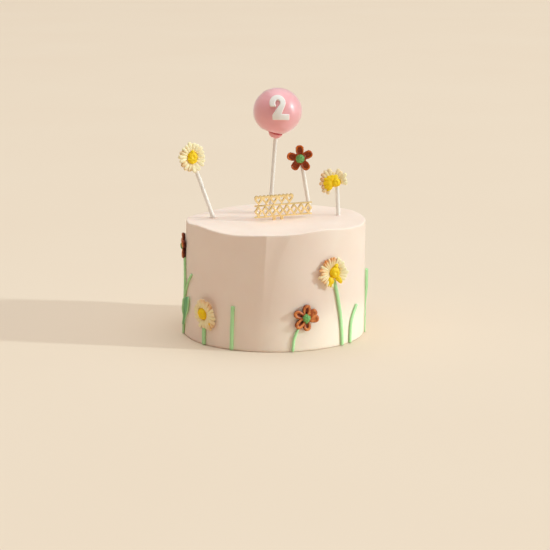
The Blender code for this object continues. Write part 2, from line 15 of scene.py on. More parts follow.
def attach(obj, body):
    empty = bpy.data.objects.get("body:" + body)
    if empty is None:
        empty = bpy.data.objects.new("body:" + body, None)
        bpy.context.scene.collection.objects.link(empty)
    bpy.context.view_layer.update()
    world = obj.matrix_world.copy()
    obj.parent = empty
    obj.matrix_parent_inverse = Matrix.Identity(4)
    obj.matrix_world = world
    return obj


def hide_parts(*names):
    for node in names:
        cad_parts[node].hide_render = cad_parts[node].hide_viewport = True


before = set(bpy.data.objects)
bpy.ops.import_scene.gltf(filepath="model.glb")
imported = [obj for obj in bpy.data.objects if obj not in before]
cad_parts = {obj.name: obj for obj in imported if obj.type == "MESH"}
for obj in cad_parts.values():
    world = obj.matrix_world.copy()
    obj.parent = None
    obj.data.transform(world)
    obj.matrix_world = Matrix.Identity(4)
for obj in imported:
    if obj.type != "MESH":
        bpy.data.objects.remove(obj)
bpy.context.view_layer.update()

scene = bpy.context.scene

# The cake: a filled sponge under a coat of pale blush buttercream.
# The side was drawn smooth with a scraper, which left one upright seam where it was lifted off,
# and the rim stands up unevenly where the spatula pulled the icing over the top.
MM = 0.001
UP = Vector((0, 0, 1))
CAKE_HEIGHT = 97.5 * MM
CAKE_BASE_RADIUS = 77.3 * MM
CAKE_TOP_RADIUS = 76.2 * MM
CAKE_LEAN = 1.8 * MM
CAKE_EDGE = 1.1 * MM
CAKE_COLUMNS = 480
SIDE_ROWS = 64
SIDE_START = 0.008
TOP_ROWS = 46
RIM_SWELLS = ((-58, 2.9, 18), (-148, 1.8, 12), (-115, -1, 12), (30, 1, 14), (146, -2, 25))
SEAM_AT_TOP = -95.8
SEAM_AT_FOOT = -98.2
SEAM_CREST = 0.36 * MM
CREASE_AT_TOP = -80
CREASE_AT_FOOT = -96


def linear(code):
    """An sRGB hex colour as linear light with full alpha."""
    channels = [int(code[i:i + 2], 16) / 255 for i in (1, 3, 5)]
    light = [c / 12.92 if c <= 0.04045 else ((c + 0.055) / 1.055) ** 2.4 for c in channels]
    return (*light, 1)


def in_mm(*sizes):
    return [size * MM for size in sizes]


def set_all(thing, settings):
    for name, value in settings.items():
        setattr(thing, name, value)
    return thing


def add(tree, kind, output, inputs=None, **settings):
    """Add one shader node and return one of its outputs; an input is a plain value or another output."""
    node = set_all(tree.nodes.new("ShaderNode" + kind), settings)
    if kind == "Mix":
        node.data_type = "RGBA"
    for name, value in (inputs or {}).items():
        if isinstance(value, bpy.types.NodeSocket):
            tree.links.new(value, node.inputs[name])
        else:
            node.inputs[name].default_value = value
    return node.outputs[output]


def new_material(name, scatter=(0,), IOR=1.45, **sockets):
    """A material with its plain sockets set, its tree, its shader and the object's own coordinates.

    Scatter is the weight, radii and depth of the light that the paste lets in.
    """
    sockets |= dict(zip(("Subsurface_Weight", "Subsurface_Radius", "Subsurface_Scale"), scatter), IOR=IOR)
    material = bpy.data.materials.new(name)
    material.use_nodes = True
    tree = material.node_tree
    shader = tree.nodes["Principled BSDF"]
    for socket, value in sockets.items():
        shader.inputs[socket.replace("_", " ")].default_value = value
    return material, tree, shader, add(tree, "TexCoord", "Object")


def two_tones(tree, where, scale, low, high, detail=2):
    """Cloudy patches from one hex colour to another: their share and the colour."""
    patches = add(tree, "TexNoise", "Fac", {"Vector": where, "Scale": scale, "Detail": detail})
    return patches, add(tree, "Mix", 2, {0: patches, 6: linear(low), 7: linear(high)})


def finish(tree, shader, where, colour, scale, strength, depth, detail=3, marks=None):
    """Give the shader its colour and a fine grain of a depth in mm, over any larger marks."""
    height = add(tree, "TexNoise", "Fac", {"Vector": where, "Scale": scale, "Detail": detail})
    if marks is not None:
        height = add(tree, "Math", "Value", {0: marks, 1: height}, operation="ADD")
    normal = add(tree, "Bump", "Normal", {"Height": height, "Strength": strength, "Distance": depth * MM})
    tree.links.new(colour, shader.inputs["Base Color"])
    tree.links.new(normal, shader.inputs["Normal"])


def angle_between(angle, other):
    return (angle - other + 180) % 360 - 180


def heading(angle, lift=0):
    """Unit vector at an angle round the cake, lifted from level; both are in degrees."""
    turn = radians(angle)
    rise = radians(lift)
    return Vector((cos(turn) * cos(rise), sin(turn) * cos(rise), sin(rise)))


def turns(count, start=0):
    """Even steps round a full turn, in radians."""
    return [tau * (i + start) / count for i in range(count)]


def polar(radius, turn, height):
    """Point at a radius, a turn in radians and a height."""
    return radius * cos(turn), radius * sin(turn), height


def eased(share):
    """A share from 0 to 1 with soft ends."""
    share = min(max(share, 0), 1)
    return share * share * (3 - 2 * share)


def on_side(angle, height, out=0):
    """Point on the plain side of the cake, or that far out from it."""
    part = height / CAKE_HEIGHT
    radius = CAKE_BASE_RADIUS + (CAKE_TOP_RADIUS - CAKE_BASE_RADIUS) * part + out
    x, y, height = polar(radius, radians(angle), height)
    return Vector((CAKE_LEAN * part + x, y, height))


def rim_lift(angle):
    """How far the rim stands above the mean height at that angle."""
    return sum(height * MM * exp(-(angle_between(angle, centre) / width) ** 2)
               for centre, height, width in RIM_SWELLS)


def side_relief(angle, part):
    """Scraped side: shallow hollows, and a flat facet from the seam's crest to a crease."""
    around = heading(angle)
    hollow_shades = 0.22 * MM * noise(around * 1.7 + UP * 0.9 * part)
    drags = 0.045 * MM * noise(around * 7 + UP * 2 * part)
    wander = 0.7 * noise(UP * (4 * part + 2.3))
    seam = SEAM_AT_FOOT + (SEAM_AT_TOP - SEAM_AT_FOOT) * part + wander * (1 - part)
    crest = SEAM_CREST * exp(-abs(angle_between(angle, seam)) / 2) * min(1, max(0, 2 * part - 0.7))
    crease = CREASE_AT_FOOT + (CREASE_AT_TOP - CREASE_AT_FOOT) * (part + part ** 5) / 2 + 0.8 * wander
    half_facet = max(0, crease - seam) / 2
    away = angle_between(angle, seam + half_facet)
    flat = cos(radians(half_facet)) / cos(radians(min(abs(away), half_facet))) - 1
    facet = CAKE_BASE_RADIUS * flat if abs(away) < half_facet else 0
    foot = 0.35 * MM * exp(-part * CAKE_HEIGHT / (1.6 * MM)) * (0.5 + noise(around * 14))
    return hollow_shades + drags + crest + facet + foot


def top_relief(angle, part):
    """Spatula strokes round the top, dying out where they cross."""
    around = heading(angle)
    strokes = 0.3 * MM * noise(around * 1.3 + UP * 6.5 * part)
    lumps = 0.14 * MM * noise(around * 5 * part + UP * 3.1)
    return (strokes + lumps) * min(1, 3 * part) * (1 - part ** 12)


def rounded(radius, *bends):
    """How far a rounded edge has drawn in and has still to rise, at bends in degrees."""
    return [(radius * (1 - cos(radians(bend))), radius * (1 - sin(radians(bend))))
            for bend in bends]


def skin(rings, loop=False):
    """Faces between rings of equal count, closed by fans unless the rings close on themselves."""
    count = len(rings[0])
    points = [tuple(point) for ring in rings for point in ring]
    faces = []
    for i in range(len(rings) if loop else len(rings) - 1):
        a = i * count
        b = (i + 1) % len(rings) * count
        for j in range(count):
            k = (j + 1) % count
            faces.append((a + j, a + k, b + k, b + j))
    if not loop:
        for first in (0, len(points) - count):
            ring = points[first:first + count]
            points.append(tuple(sum(p[axis] for p in ring) / count for axis in range(3)))
            faces += [(first + j, first + (j + 1) % count, len(points) - 1) for j in range(count)]
    return points, faces


def join(skins):
    """Several skins as one list of points and one of faces."""
    points = []
    faces = []
    for more_points, more_faces in skins:
        faces += [tuple(corner + len(points) for corner in face) for face in more_faces]
        points += more_points
    return points, faces


def new_object(name, data, **settings):
    thing = bpy.data.objects.new(name, data)
    scene.collection.objects.link(thing)
    return set_all(thing, settings)


def make_piece(name, points, faces, material, sharp_angle=60, place=None):
    """A piece with its faces pointing out, smooth but for sharp edges."""
    mesh = bpy.data.meshes.new(name)
    mesh.from_pydata(points, [], faces)
    work = bmesh.new()
    work.from_mesh(mesh)
    bmesh.ops.recalc_face_normals(work, faces=work.faces)
    work.to_mesh(mesh)
    work.free()
    mesh.shade_smooth()
    mesh.set_sharp_from_angle(angle=radians(sharp_angle))
    mesh.materials.append(material)
    piece = new_object(name, mesh)
    if place:
        piece.matrix_world = place
    return piece


def mark(piece, label, values, spare):
    """Store a value at each point for the material; the fans' middles get the spare one."""
    padded = values + [spare] * (len(piece.data.vertices) - len(values))
    piece.data.attributes.new(label, "FLOAT", "POINT").data.foreach_set("value", padded)


def modify(piece, kind, **settings):
    set_all(piece.modifiers.new(kind, kind), settings)


def settle(piece):
    """Replace a piece's mesh by the result of its modifiers."""
    result = bpy.data.meshes.new_from_object(piece.evaluated_get(bpy.context.evaluated_depsgraph_get()))
    piece.modifiers.clear()
    piece.data = result


def stand_for(piece, node):
    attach(piece, "root")
    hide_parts(node)


def cake_column(angle):
    """Points up the side, over the edge and in to the middle of the top."""
    around = heading(angle)
    lift = rim_lift(angle) + 0.16 * MM * noise(around * 9 + UP * 4)
    lift += 0.14 * MM * exp(-(angle_between(angle, SEAM_AT_TOP) / 0.9) ** 2)
    edge = CAKE_EDGE * (1 + 0.25 * noise(around * 4 + UP))
    shoulder = 1 - edge / CAKE_HEIGHT
    column = [on_side(angle, 0, -1.2 * MM), on_side(angle, 0.25 * MM, -0.35 * MM)]
    for i in range(SIDE_ROWS):
        part = SIDE_START + (shoulder - SIDE_START) * i / (SIDE_ROWS - 1)
        point = on_side(angle, part * CAKE_HEIGHT, side_relief(angle, part))
        column.append(point + UP * lift * part ** 24)
    for inward, drop in rounded(edge, 15, 30, 45, 60, 75):
        column.append(on_side(angle, CAKE_HEIGHT - drop, side_relief(angle, 1) - inward) + UP * lift)
    rim = 1 - edge / CAKE_TOP_RADIUS
    for i in range(TOP_ROWS):
        part = rim * (1 - i / TOP_ROWS) ** 1.15
        blend = side_relief(angle, 1) * (part / rim) ** 20
        flat = on_side(angle, CAKE_HEIGHT, blend - CAKE_TOP_RADIUS * (1 - part))
        column.append(flat + UP * (lift * (part / rim) ** 5 + top_relief(angle, part / rim)))
    return column


# Buttercream: whipped butter and sugar, scraped smooth.  It is matt with a faint sheen of fat,
# lets a little light in, and has faint cloudy tones and pin-prick air holes.
buttercream, tree, shader, where = new_material(
    "buttercream_scraped", (0.12, (1, 0.55, 0.35), 2.5 * MM), Roughness=0.6, Specular_IOR_Level=0.3)
tone = two_tones(tree, where, 45, "#F9E1D1", "#FDEADC", 3)[1]
holes = add(tree, "TexVoronoi", "Distance", {"Vector": where, "Scale": 420, "Randomness": 1})
pits = add(tree, "MapRange", "Result", {"Value": holes, "From Min": 0.05, "From Max": 0.16})
finish(tree, shader, where, tone, 900, 0.12, 0.1, 4, pits)

columns = [cake_column(360 * i / CAKE_COLUMNS) for i in range(CAKE_COLUMNS)]
stand_for(make_piece("iced_cake", *skin(list(zip(*columns))), buttercream), "cake_body")

# Stems and blades: ropes of pale green paste, rolled by hand, a little uneven, with round ends.
STEM_PRESSED = 0.25 * MM
STEM_FOOT = 0.4 * MM
STEM_STEP = 0.5 * MM
STEM_SIDES = 20


def smooth_route(points, count):
    """Points at even steps of a smooth curve through the given pairs."""
    padded = [points[0]] + list(points) + [points[-1]]
    route = []
    for i in range(count):
        place = i / (count - 1) * (len(points) - 1)
        leg = min(int(place), len(points) - 2)
        t = place - leg
        route.append([0.5 * (2 * b + (c - a) * t + (2 * a - 5 * b + 4 * c - d) * t * t
                             + (3 * b - a - 3 * c + d) * t ** 3) for a, b, c, d in zip(*padded[leg:leg + 4])])
    return route


def rope_section(turn):
    """Round rope, pressed a little flat against the cake."""
    side = sin(turn)
    return cos(turn), side if side > 0 else 0.8 * side


def leaf_section(turn):
    """Leaf pinched up at its rims, with a hollow along its middle."""
    wide = cos(turn)
    deep = sin(turn)
    return wide, deep * (2.2 * wide * wide - 0.3) if deep > 0 else 0.9 * deep


def thin_top(part):
    """A stem that narrows where it runs in under its flower."""
    return 1 - 0.5 * max(0, part - 0.8) / 0.2


def leaf_shape(part):
    """A stalk, then a broad blade that draws in to a round tip."""
    tip = max(0, part - 0.75) / 0.25
    return (0.38 + 0.62 * eased((part - 0.32) / 0.34)) * (1 - 0.25 * tip * tip)


def long_leaf_shape(part):
    """A thin stalk over the lower half that swells into a narrow leaf near the top."""
    return 0.28 + 0.72 * eased((part - 0.5) / 0.25)


def make_rope(name, node, route, seed, width=3.2, thick=2.4, shape=lambda part: 1, section=rope_section,
              twist=0):
    """Rope of paste laid along (angle, height) points; its sizes are in mm.

    Shape gives its share of the full width.  A twist, in degrees, lifts one edge off the cake.
    """
    width, thick = in_mm(width, thick)
    corners = [on_side(angle, height * MM) for angle, height in route]
    length = sum((a - b).length for a, b in zip(corners, corners[1:]))
    stations = max(20, round(length / STEM_STEP))
    laid = smooth_route(route, stations)
    places = [on_side(angle, height * MM) for angle, height in laid]
    rings = []
    hollow_shades = []
    for i, (angle, height) in enumerate(laid):
        part = i / (stations - 1)
        along = (places[min(i + 1, stations - 1)] - places[max(i - 1, 0)]).normalized()
        outward = heading(angle)
        across = along.cross(outward).normalized()
        turned = Matrix.Rotation(radians(twist), 3, along)
        from_end = min(part, 1 - part) * length / (width / 2)
        rounding = max(0.12, sqrt(max(0, 1 - (1 - min(from_end, 1)) ** 2)))
        share = shape(part) * rounding * (1 + 0.09 * noise(Vector((height * 0.16, seed, 0.5))))
        depth = thick / 2 * (0.35 + 0.65 * rounding) * shape(part) ** 0.5
        sway = across * 0.18 * MM * noise(Vector((seed, height * 0.2, 7)))
        centre = on_side(angle, height * MM, thick / 2 - STEM_PRESSED) + sway
        centre += outward * abs(sin(radians(twist))) * width / 2 * share
        ring = []
        for turn in turns(STEM_SIDES, 0.5):
            wide, deep = section(turn)
            point = centre + turned @ (across * width / 2 * share * wide + outward * depth * deep)
            point.z = max(point.z, STEM_FOOT)
            ring.append(point)
            # A share for each point of the leaf's hollow, where the green paste paints shade.
            hollow_shades.append(1 - abs(wide) if section is leaf_section and sin(turn) > 0 else 0)
        rings.append(ring)
    rope = make_piece(name, *skin(rings), green_paste)
    mark(rope, "hollow_shade", hollow_shades, 0)
    stand_for(rope, node)


# Green sugar paste: dyed fondant, kneaded and rolled.  It is matt and waxy, and its dye is
# a little patchy along the rope.  A darker green is painted into a leaf's hollow as painted shade.
green_paste, tree, shader, where = new_material(
    "sugar_paste_pale_green", (0.1, (0.6, 1, 0.5), 1 * MM), Roughness=0.5)
dye = two_tones(tree, where, 120, "#A8E09A", "#C6F0B6")[1]
# Painted shade: a darker green laid into the leaf's hollow, deeper where the hollow is deeper.
hollow_shade = add(tree, "Attribute", "Fac", attribute_name="hollow_shade")
painted_hollow_shade = add(tree, "MapRange", "Result", {"Value": hollow_shade, "From Min": 0.2, "From Max": 0.6})
dye = add(tree, "Mix", 2, {0: painted_hollow_shade, 6: dye, 7: linear("#80BF88")})
finish(tree, shader, where, dye, 1100, 0.15, 0.08)

make_rope("big_daisy_stalk", "side_daisy_big_stem",
          ((-43.4, 0.4), (-43.8, 9.9), (-45.5, 26.7), (-48.3, 43.5), (-50.7, 54.5), (-51.8, 57.2)), 1,
          shape=thin_top)
make_rope("small_daisy_stalk", "side_daisy_small_stem", ((-138.2, 0.4), (-138.3, 7), (-138.5, 15)), 2, 4.2)
make_rope("front_flower_stalk", "side_flower_front_stem", ((-78.5, 0.4), (-77.7, 11.4), (-75.2, 19.4)), 3,
          2.2, 2, thin_top)
make_rope("edge_flower_stalk", "side_flower_edge_stem",
          ((-170.6, 0.4), (-169.4, 20), (-168, 39), (-169, 55), (-172, 67)), 4, 2.9)
make_rope("sprig", "edge_sprig", ((-167, 34.5), (-163.6, 42.5), (-159.4, 49.8), (-154.2, 56.3)), 5, 2.4, 2)
make_rope("pinched_leaf", "edge_leaf", ((-168.6, 8.5), (-164.6, 16), (-159.8, 26), (-158.5, 36)), 6,
          7.4, 2.6, leaf_shape, leaf_section, 36)
make_rope("front_blade", "blade_front", ((-116.5, 0.4), (-116.5, 19), (-116.2, 37.5)), 7, 3.3)
make_rope("right_blade", "blade_right",
          ((-35.4, 0.4), (-35.2, 6.9), (-34.7, 16.8), (-32.1, 24.7), (-27.8, 31.5)), 8, 2.8)
make_rope("long_leaf", "leaf_right", ((-6.5, 0.4), (-5.5, 25), (-5, 56)), 9, 4.4, 2.2, long_leaf_shape,
          twist=-22)
make_rope("back_big_daisy_stalk", "back_daisy_big_stem",
          ((99, 0.4), (99.6, 18), (102.2, 38), (103.9, 50), (104, 53.8)), 10, shape=thin_top)
make_rope("back_small_daisy_stalk", "back_daisy_small_stem", ((153.5, 0.4), (153, 9), (152.4, 21.5)), 11, 3.4)
make_rope("back_flower_stalk", "back_flower_stem", ((56, 0.4), (56.6, 14), (58.9, 27)), 12, 3)
make_rope("back_right_blade", "blade_back_right", ((24, 0.4), (23.3, 17), (21.5, 33)), 13, 3)
make_rope("back_middle_blade", "blade_back_middle", ((82, 0.4), (81.4, 14), (80, 28)), 14, 3)
make_rope("back_left_blade", "blade_back_left", ((129, 0.4), (129.6, 20), (131, 40)), 15, 3)

# Daisies: a strip of cream paste cut into a fringe and wound round a yellow dome.
# Each petal is a soft rolled strand, cupped forward, with orange between the tips that is partly dust and
# partly painted shade.
# The fringe parts where the stem or stick comes in.
STRANDS_ACROSS = 8
STRANDS_ALONG = 14
TIP_START = 0.84
DOME_SIDES = 36
DAISY_DOME_ROWS = 18
DROP_ROWS = 20
DROP_SIDES = 28
DROP_BASE = 1.8 * MM
DROP_VOXEL = 0.28 * MM


def frame_from(origin, normal, upward=UP):
    """Matrix whose Z is the normal and whose Y is as near to upward as can be."""
    z_axis = normal.normalized()
    x_axis = upward.cross(z_axis).normalized()
    y_axis = z_axis.cross(x_axis)
    return Matrix.Translation(origin) @ Matrix((x_axis, y_axis, z_axis)).transposed().to_4x4()


def side_frame(angle, height, turn=0, pitch=0):
    """Frame of a flower on the side at a height in mm, turned and pitched up in degrees."""
    return frame_from(on_side(angle, height * MM), heading(angle + turn, pitch))


def fuse(piece, voxel, passes):
    """Melt a piece's overlapping lumps into one skin and soften it."""
    modify(piece, "REMESH", mode="VOXEL", voxel_size=voxel, use_smooth_shade=True)
    modify(piece, "SMOOTH", iterations=passes)
    settle(piece)


def share_at(angle, sectors):
    """Strength at an angle of sectors of (middle, half width, strength) that fade at their sides."""
    return max([strength * min(1, max(0, 3 * (1 - abs(angle_between(angle, middle)) / half)))
                for middle, half, strength in sectors], default=0)


def strand_section(inner, tip, rise, u, curl, soft):
    """One cut through the fringe at u, from -1 in one groove to 1 in the next.

    Gives (radius, height, part of the length, depth in the groove) round the cut.
    """
    crest = sqrt(max(0, 1 - u * u))
    top = []
    under = []
    for j in range(STRANDS_ALONG + 1):
        s = j / STRANDS_ALONG
        end = sqrt(max(0, 1 - (max(0, s - TIP_START) / (1 - TIP_START)) ** 2))
        r = inner + (tip - inner) * s
        middle = 1.9 * MM + 0.9 * MM * sin(pi * s * 0.9) + rise * s ** 1.4 + curl * s ** 4
        thick = (2 - 0.5 * s) * MM * (0.45 + 0.55 * crest)
        ridge = 0.95 * MM * (1 - soft) * (0.25 + 0.75 * s) * (crest - 0.6)
        top.append((r, middle + ridge + 0.5 * thick * end, s, 1 - crest))
        under.append((r, (middle + 0.6 * ridge - 0.5 * thick * end) * eased(s / 0.4), s, 1 - crest))
    return top + under[::-1]


def make_daisy(name, node, place, radius, petals, gap, cup, dome, seed, soft, dusty, ragged=0.05, drops=(),
               short=(), riding=()):
    """Fringe and dome (radius, height, shift), in mm; gap is the open part in degrees.

    Sectors of (middle, half, strength) say where the fringe is soft, dusty, torn short or rides up over
    its stick.  Drops of (heading, near, far, width, height) are pinched out of the dome.
    """
    draw = random.Random(seed)
    radius, cup = in_mm(radius, cup)
    dome_radius, dome_height, dome_shift = in_mm(*dome)
    start = gap[1] if gap else 0
    pitch = (360 - (gap[1] - gap[0]) if gap else 360) / petals
    clear = dome_radius + 0.1 * MM
    rings = []
    marks = {"along": [], "groove": [], "dust": []}
    for petal in range(petals):
        middle_turn = start + pitch * (petal + 0.5)
        reach = 0.98 + draw.uniform(-ragged, ragged) - share_at(middle_turn, short)
        drift = draw.uniform(-0.2, 0.2)
        calm = 0.25 + 0.75 * share_at(middle_turn, soft)
        lift = draw.uniform(-0.9, 0.9) * MM * (1 - calm) + share_at(middle_turn, riding) * MM
        curl = draw.uniform(-1.6, 0.8) * MM * (1 - calm)
        powder = share_at(middle_turn, dusty) * min(1, draw.uniform(0, 1.4))
        notch = 0.11 + 0.09 * (1 - calm)
        for step in range(STRANDS_ACROSS + (1 if gap and petal == petals - 1 else 0)):
            u = 2 * step / STRANDS_ACROSS - 1
            skew = drift * (1 - u * u)
            turn = radians(start + pitch * (petal + (u + 1) / 2))
            inner = dome_shift * cos(turn) + sqrt(clear ** 2 - (dome_shift * sin(turn)) ** 2)
            tip = radius * reach * (1 - notch + notch * sqrt(max(0, 1 - u * u)))
            ring = []
            for r, height, s, deep in strand_section(inner, tip, cup + lift, u, curl, calm):
                bent = turn + radians(pitch) * skew * s
                ring.append(polar(r, bent, height))
                marks["along"].append(s)
                # The depth in the groove, which the petal paste uses for painted shade.
                marks["groove"].append(deep * (1 - 0.7 * calm))
                marks["dust"].append(powder)
            rings.append(ring)
    fringe = make_piece(name + "_fringe", *skin(rings, gap is None), petal_paste, 75, place)
    for label, values in marks.items():
        mark(fringe, label, values, 0.5)
    stand_for(fringe, node + "_petals")

    rings = []
    for i in range(DAISY_DOME_ROWS + 1):
        lean = i / DAISY_DOME_ROWS * pi / 2
        r = max(dome_radius * cos(lean) ** 0.75, 0.05 * dome_radius)
        h = dome_height * sin(lean) ** 0.9
        dimple = 0.14 * dome_height * exp(-(r / (0.25 * dome_radius)) ** 2)
        ring = []
        for turn in turns(DOME_SIDES):
            at = Vector(polar(r, turn, h))
            lump = 0.3 * MM * noise(at * 380 + UP * (seed * 3.7 + 0.5))
            swell = 1 + lump / dome_radius
            ring.append((at.x * swell, at.y * swell, (h - dimple) * (1 + 1.2 * lump / dome_height)))
        rings.append(ring)
    skins = [skin(rings)]
    for i, (angle, *sizes) in enumerate(drops):
        skins.append(pinched_drop(angle, sizes, seed + 1.7 * i, dome_shift))
    ball = make_piece(name + "_dome", *join(skins), yellow_paste, 80,
                      place @ Matrix.Translation((dome_shift, 0, 0)))
    if drops:
        fuse(ball, DROP_VOXEL, 3)
    stand_for(ball, node + "_centre")


def pinched_drop(angle, sizes, seed, shift):
    """Lump pinched out of a dome at an angle, tapered and rounded at its outer end."""
    near, far, width, height = in_mm(*sizes)
    forward, sideways = heading(angle), heading(angle + 90)
    rings = []
    for i in range(1, DROP_ROWS):
        along = -cos(pi * i / DROP_ROWS)
        girth = sin(pi * i / DROP_ROWS) ** 0.7 * (1 - 0.15 * along)
        middle = forward * ((near + far) / 2 + (far - near) / 2 * along) - Vector((shift, 0, 0))
        ring = []
        for bend in turns(DROP_SIDES):
            lump = 1 + 0.22 * noise(Vector((along * 1.8, cos(bend) + seed, sin(bend))))
            level = (DROP_BASE + height) / 2 + (height - DROP_BASE) / 2 * girth * lump * sin(bend)
            ring.append(middle + sideways * width / 2 * girth * lump * cos(bend) + UP * level)
        rings.append(ring)
    return skin(rings)


def dyed_paste(name, patch_scale, low, high, grain_scale, strength, depth, scatter=(0,), **sockets):
    """Sugar paste with cloudy patches of dye and a fine grain."""
    material, tree, shader, where = new_material(name, scatter, **sockets)
    dye = two_tones(tree, where, patch_scale, low, high)[1]
    finish(tree, shader, where, dye, grain_scale, strength, depth)
    return material


# Cream petal paste: pale fondant, thin and slightly see-through at the tips.  Orange petal dust was brushed
# over some strands;
# a tan is painted down the grooves as painted shade, and orange lies thickest between the strands at the
# tips, partly dust, partly painted shade.
petal_paste, tree, shader, where = new_material(
    "sugar_paste_cream_dusted", (0.15, (1, 0.8, 0.45), 1.2 * MM), Roughness=0.55)
along, groove, dust = (add(tree, "Attribute", "Fac", attribute_name=label)
                       for label in ("along", "groove", "dust"))
patches, cream = two_tones(tree, where, 260, "#FFEBB2", "#FFF6D4")
# Painted shade: a deeper tan down the grooves between the strands.
deep = add(tree, "MapRange", "Result", {"Value": groove, "From Min": 0.25, "From Max": 1, "To Max": 0.5})
tint = add(tree, "Math", "Value", {0: dust, 1: 0.35}, operation="MULTIPLY")
at_tip = add(tree, "MapRange", "Result", {"Value": along, "From Min": 0.5, "From Max": 0.9})
# Orange at the tips, thickest between the strands: partly dust and partly painted shade.
between = add(tree, "MapRange", "Result", {"Value": groove, "From Min": -0.3, "From Max": 0.6})
dust_and_groove_shade = add(tree, "Math", "Value", {0: between, 1: patches}, operation="ADD")
dust_and_groove_shade = add(tree, "MapRange", "Result", {"Value": dust_and_groove_shade, "From Min": 0.45, "From Max": 1})
for share in (at_tip, dust):
    dust_and_groove_shade = add(tree, "Math", "Value", {0: dust_and_groove_shade, 1: share}, operation="MULTIPLY")
for share, colour in ((deep, "#F4C878"), (tint, "#F2BA66"), (dust_and_groove_shade, "#E48C3A")):
    cream = add(tree, "Mix", 2, {0: share, 6: cream, 7: linear(colour)})
finish(tree, shader, where, cream, 1300, 0.2, 0.08)

# Yellow dome paste: strongly dyed fondant, patted into a lumpy ball, in cloudy patches of deeper and paler
# yellow.
yellow_paste = dyed_paste("sugar_paste_yellow", 350, "#FFC600", "#FFE31C", 1000, 0.25, 0.1,
                          (0.12, (1, 0.7, 0.1), 1 * MM), Roughness=0.55, Specular_IOR_Level=0.35)

make_daisy("big_daisy", "side_daisy_big", side_frame(-53.2, 64, -8, 3), 13.9, 23, (-90, -52), 1.5,
           (5.1, 5.9, 2.1), 4, ((18, 72, 0.95), (0, 181, 0.18)), ((168, 82, 1), (105, 40, 1)), 0.1,
           ((244, 3.8, 11.8, 4.8, 5), (256, 4.4, 12.2, 4.4, 4.8), (-48, 4.4, 12.6, 4.6, 4.9),
            (60, 4.4, 8.6, 3.8, 4.6)))
make_daisy("small_daisy", "side_daisy_small", side_frame(-136.3, 27, 0, -7), 13.5, 19, None, 0.8,
           (5.4, 5.4, -3.4), 13, ((150, 60, 0.9), (0, 181, 0.5)), ((5, 75, 0.7), (0, 181, 0.45)), 0.09,
           ((-50, 7.6, 10.6, 2.6, 4.4),))
make_daisy("back_big_daisy", "back_daisy_big", side_frame(104, 60), 13.6, 18, (-108, -68), 3,
           (4.8, 5.8, 0), 21, ((0, 60, 0.7),), ((150, 70, 0.8),), 0.06,
           ((226, 3.6, 10.6, 4.2, 5), (240, 4, 11.4, 3.8, 4.8), (-54, 4, 11, 4.2, 5)))
make_daisy("back_small_daisy", "back_daisy_small", side_frame(152, 33), 12.2, 18, None, 0.8,
           (4.4, 4.8, 0), 6, ((0, 181, 0.35),), ((200, 60, 0.6),))

# Brown flowers: petals bent from ropes of brown paste into loops, pressed on to a thin disc,
# with a green dome in the middle.
LOOP_STEPS = 36
LOOP_SIDES = 12
SLAB_SIDES = 28
SLAB_FOOT = 0.1 * MM
FLOWER_VOXEL = 0.2 * MM
GREEN_DOME_ROWS = 16


def tube_loop(angle, near, far, half_wide, thick, height):
    """Rope folded back on itself, thinner and closer together near the flower's middle."""
    forward, sideways = heading(angle), heading(angle + 90)
    rings = []
    for turn in turns(LOOP_STEPS):
        out = (cos(turn) + 1) / 2
        arms = half_wide * (0.62 + 0.38 * out ** 0.7) * copysign(abs(sin(turn)) ** 0.7, sin(turn))
        middle = forward * (near + (far - near) * out) + sideways * arms + UP * (height + 0.4 * MM * out)
        away = (forward * cos(turn) / (far - near) * 2 + sideways * sin(turn) / half_wide).normalized()
        rope = thick * (0.66 + 0.34 * out)
        rings.append([middle + away * rope * cos(bend) + UP * rope * sin(bend) for bend in turns(LOOP_SIDES)])
    return skin(rings, True)


def slab(angle, away, half_long, half_wide, high):
    """Oval pad with a rounded edge, its middle that far out at an angle."""
    forward, sideways = heading(angle), heading(angle + 90)
    rings = []
    middle = (SLAB_FOOT + high) / 2
    for share, height in ((0.4, SLAB_FOOT), (0.9, SLAB_FOOT), (1, middle), (0.9, high), (0.4, high)):
        rings.append([forward * (away + half_long * share * cos(turn))
                      + sideways * half_wide * share * sin(turn) + UP * height for turn in turns(SLAB_SIDES)])
    return skin(rings)


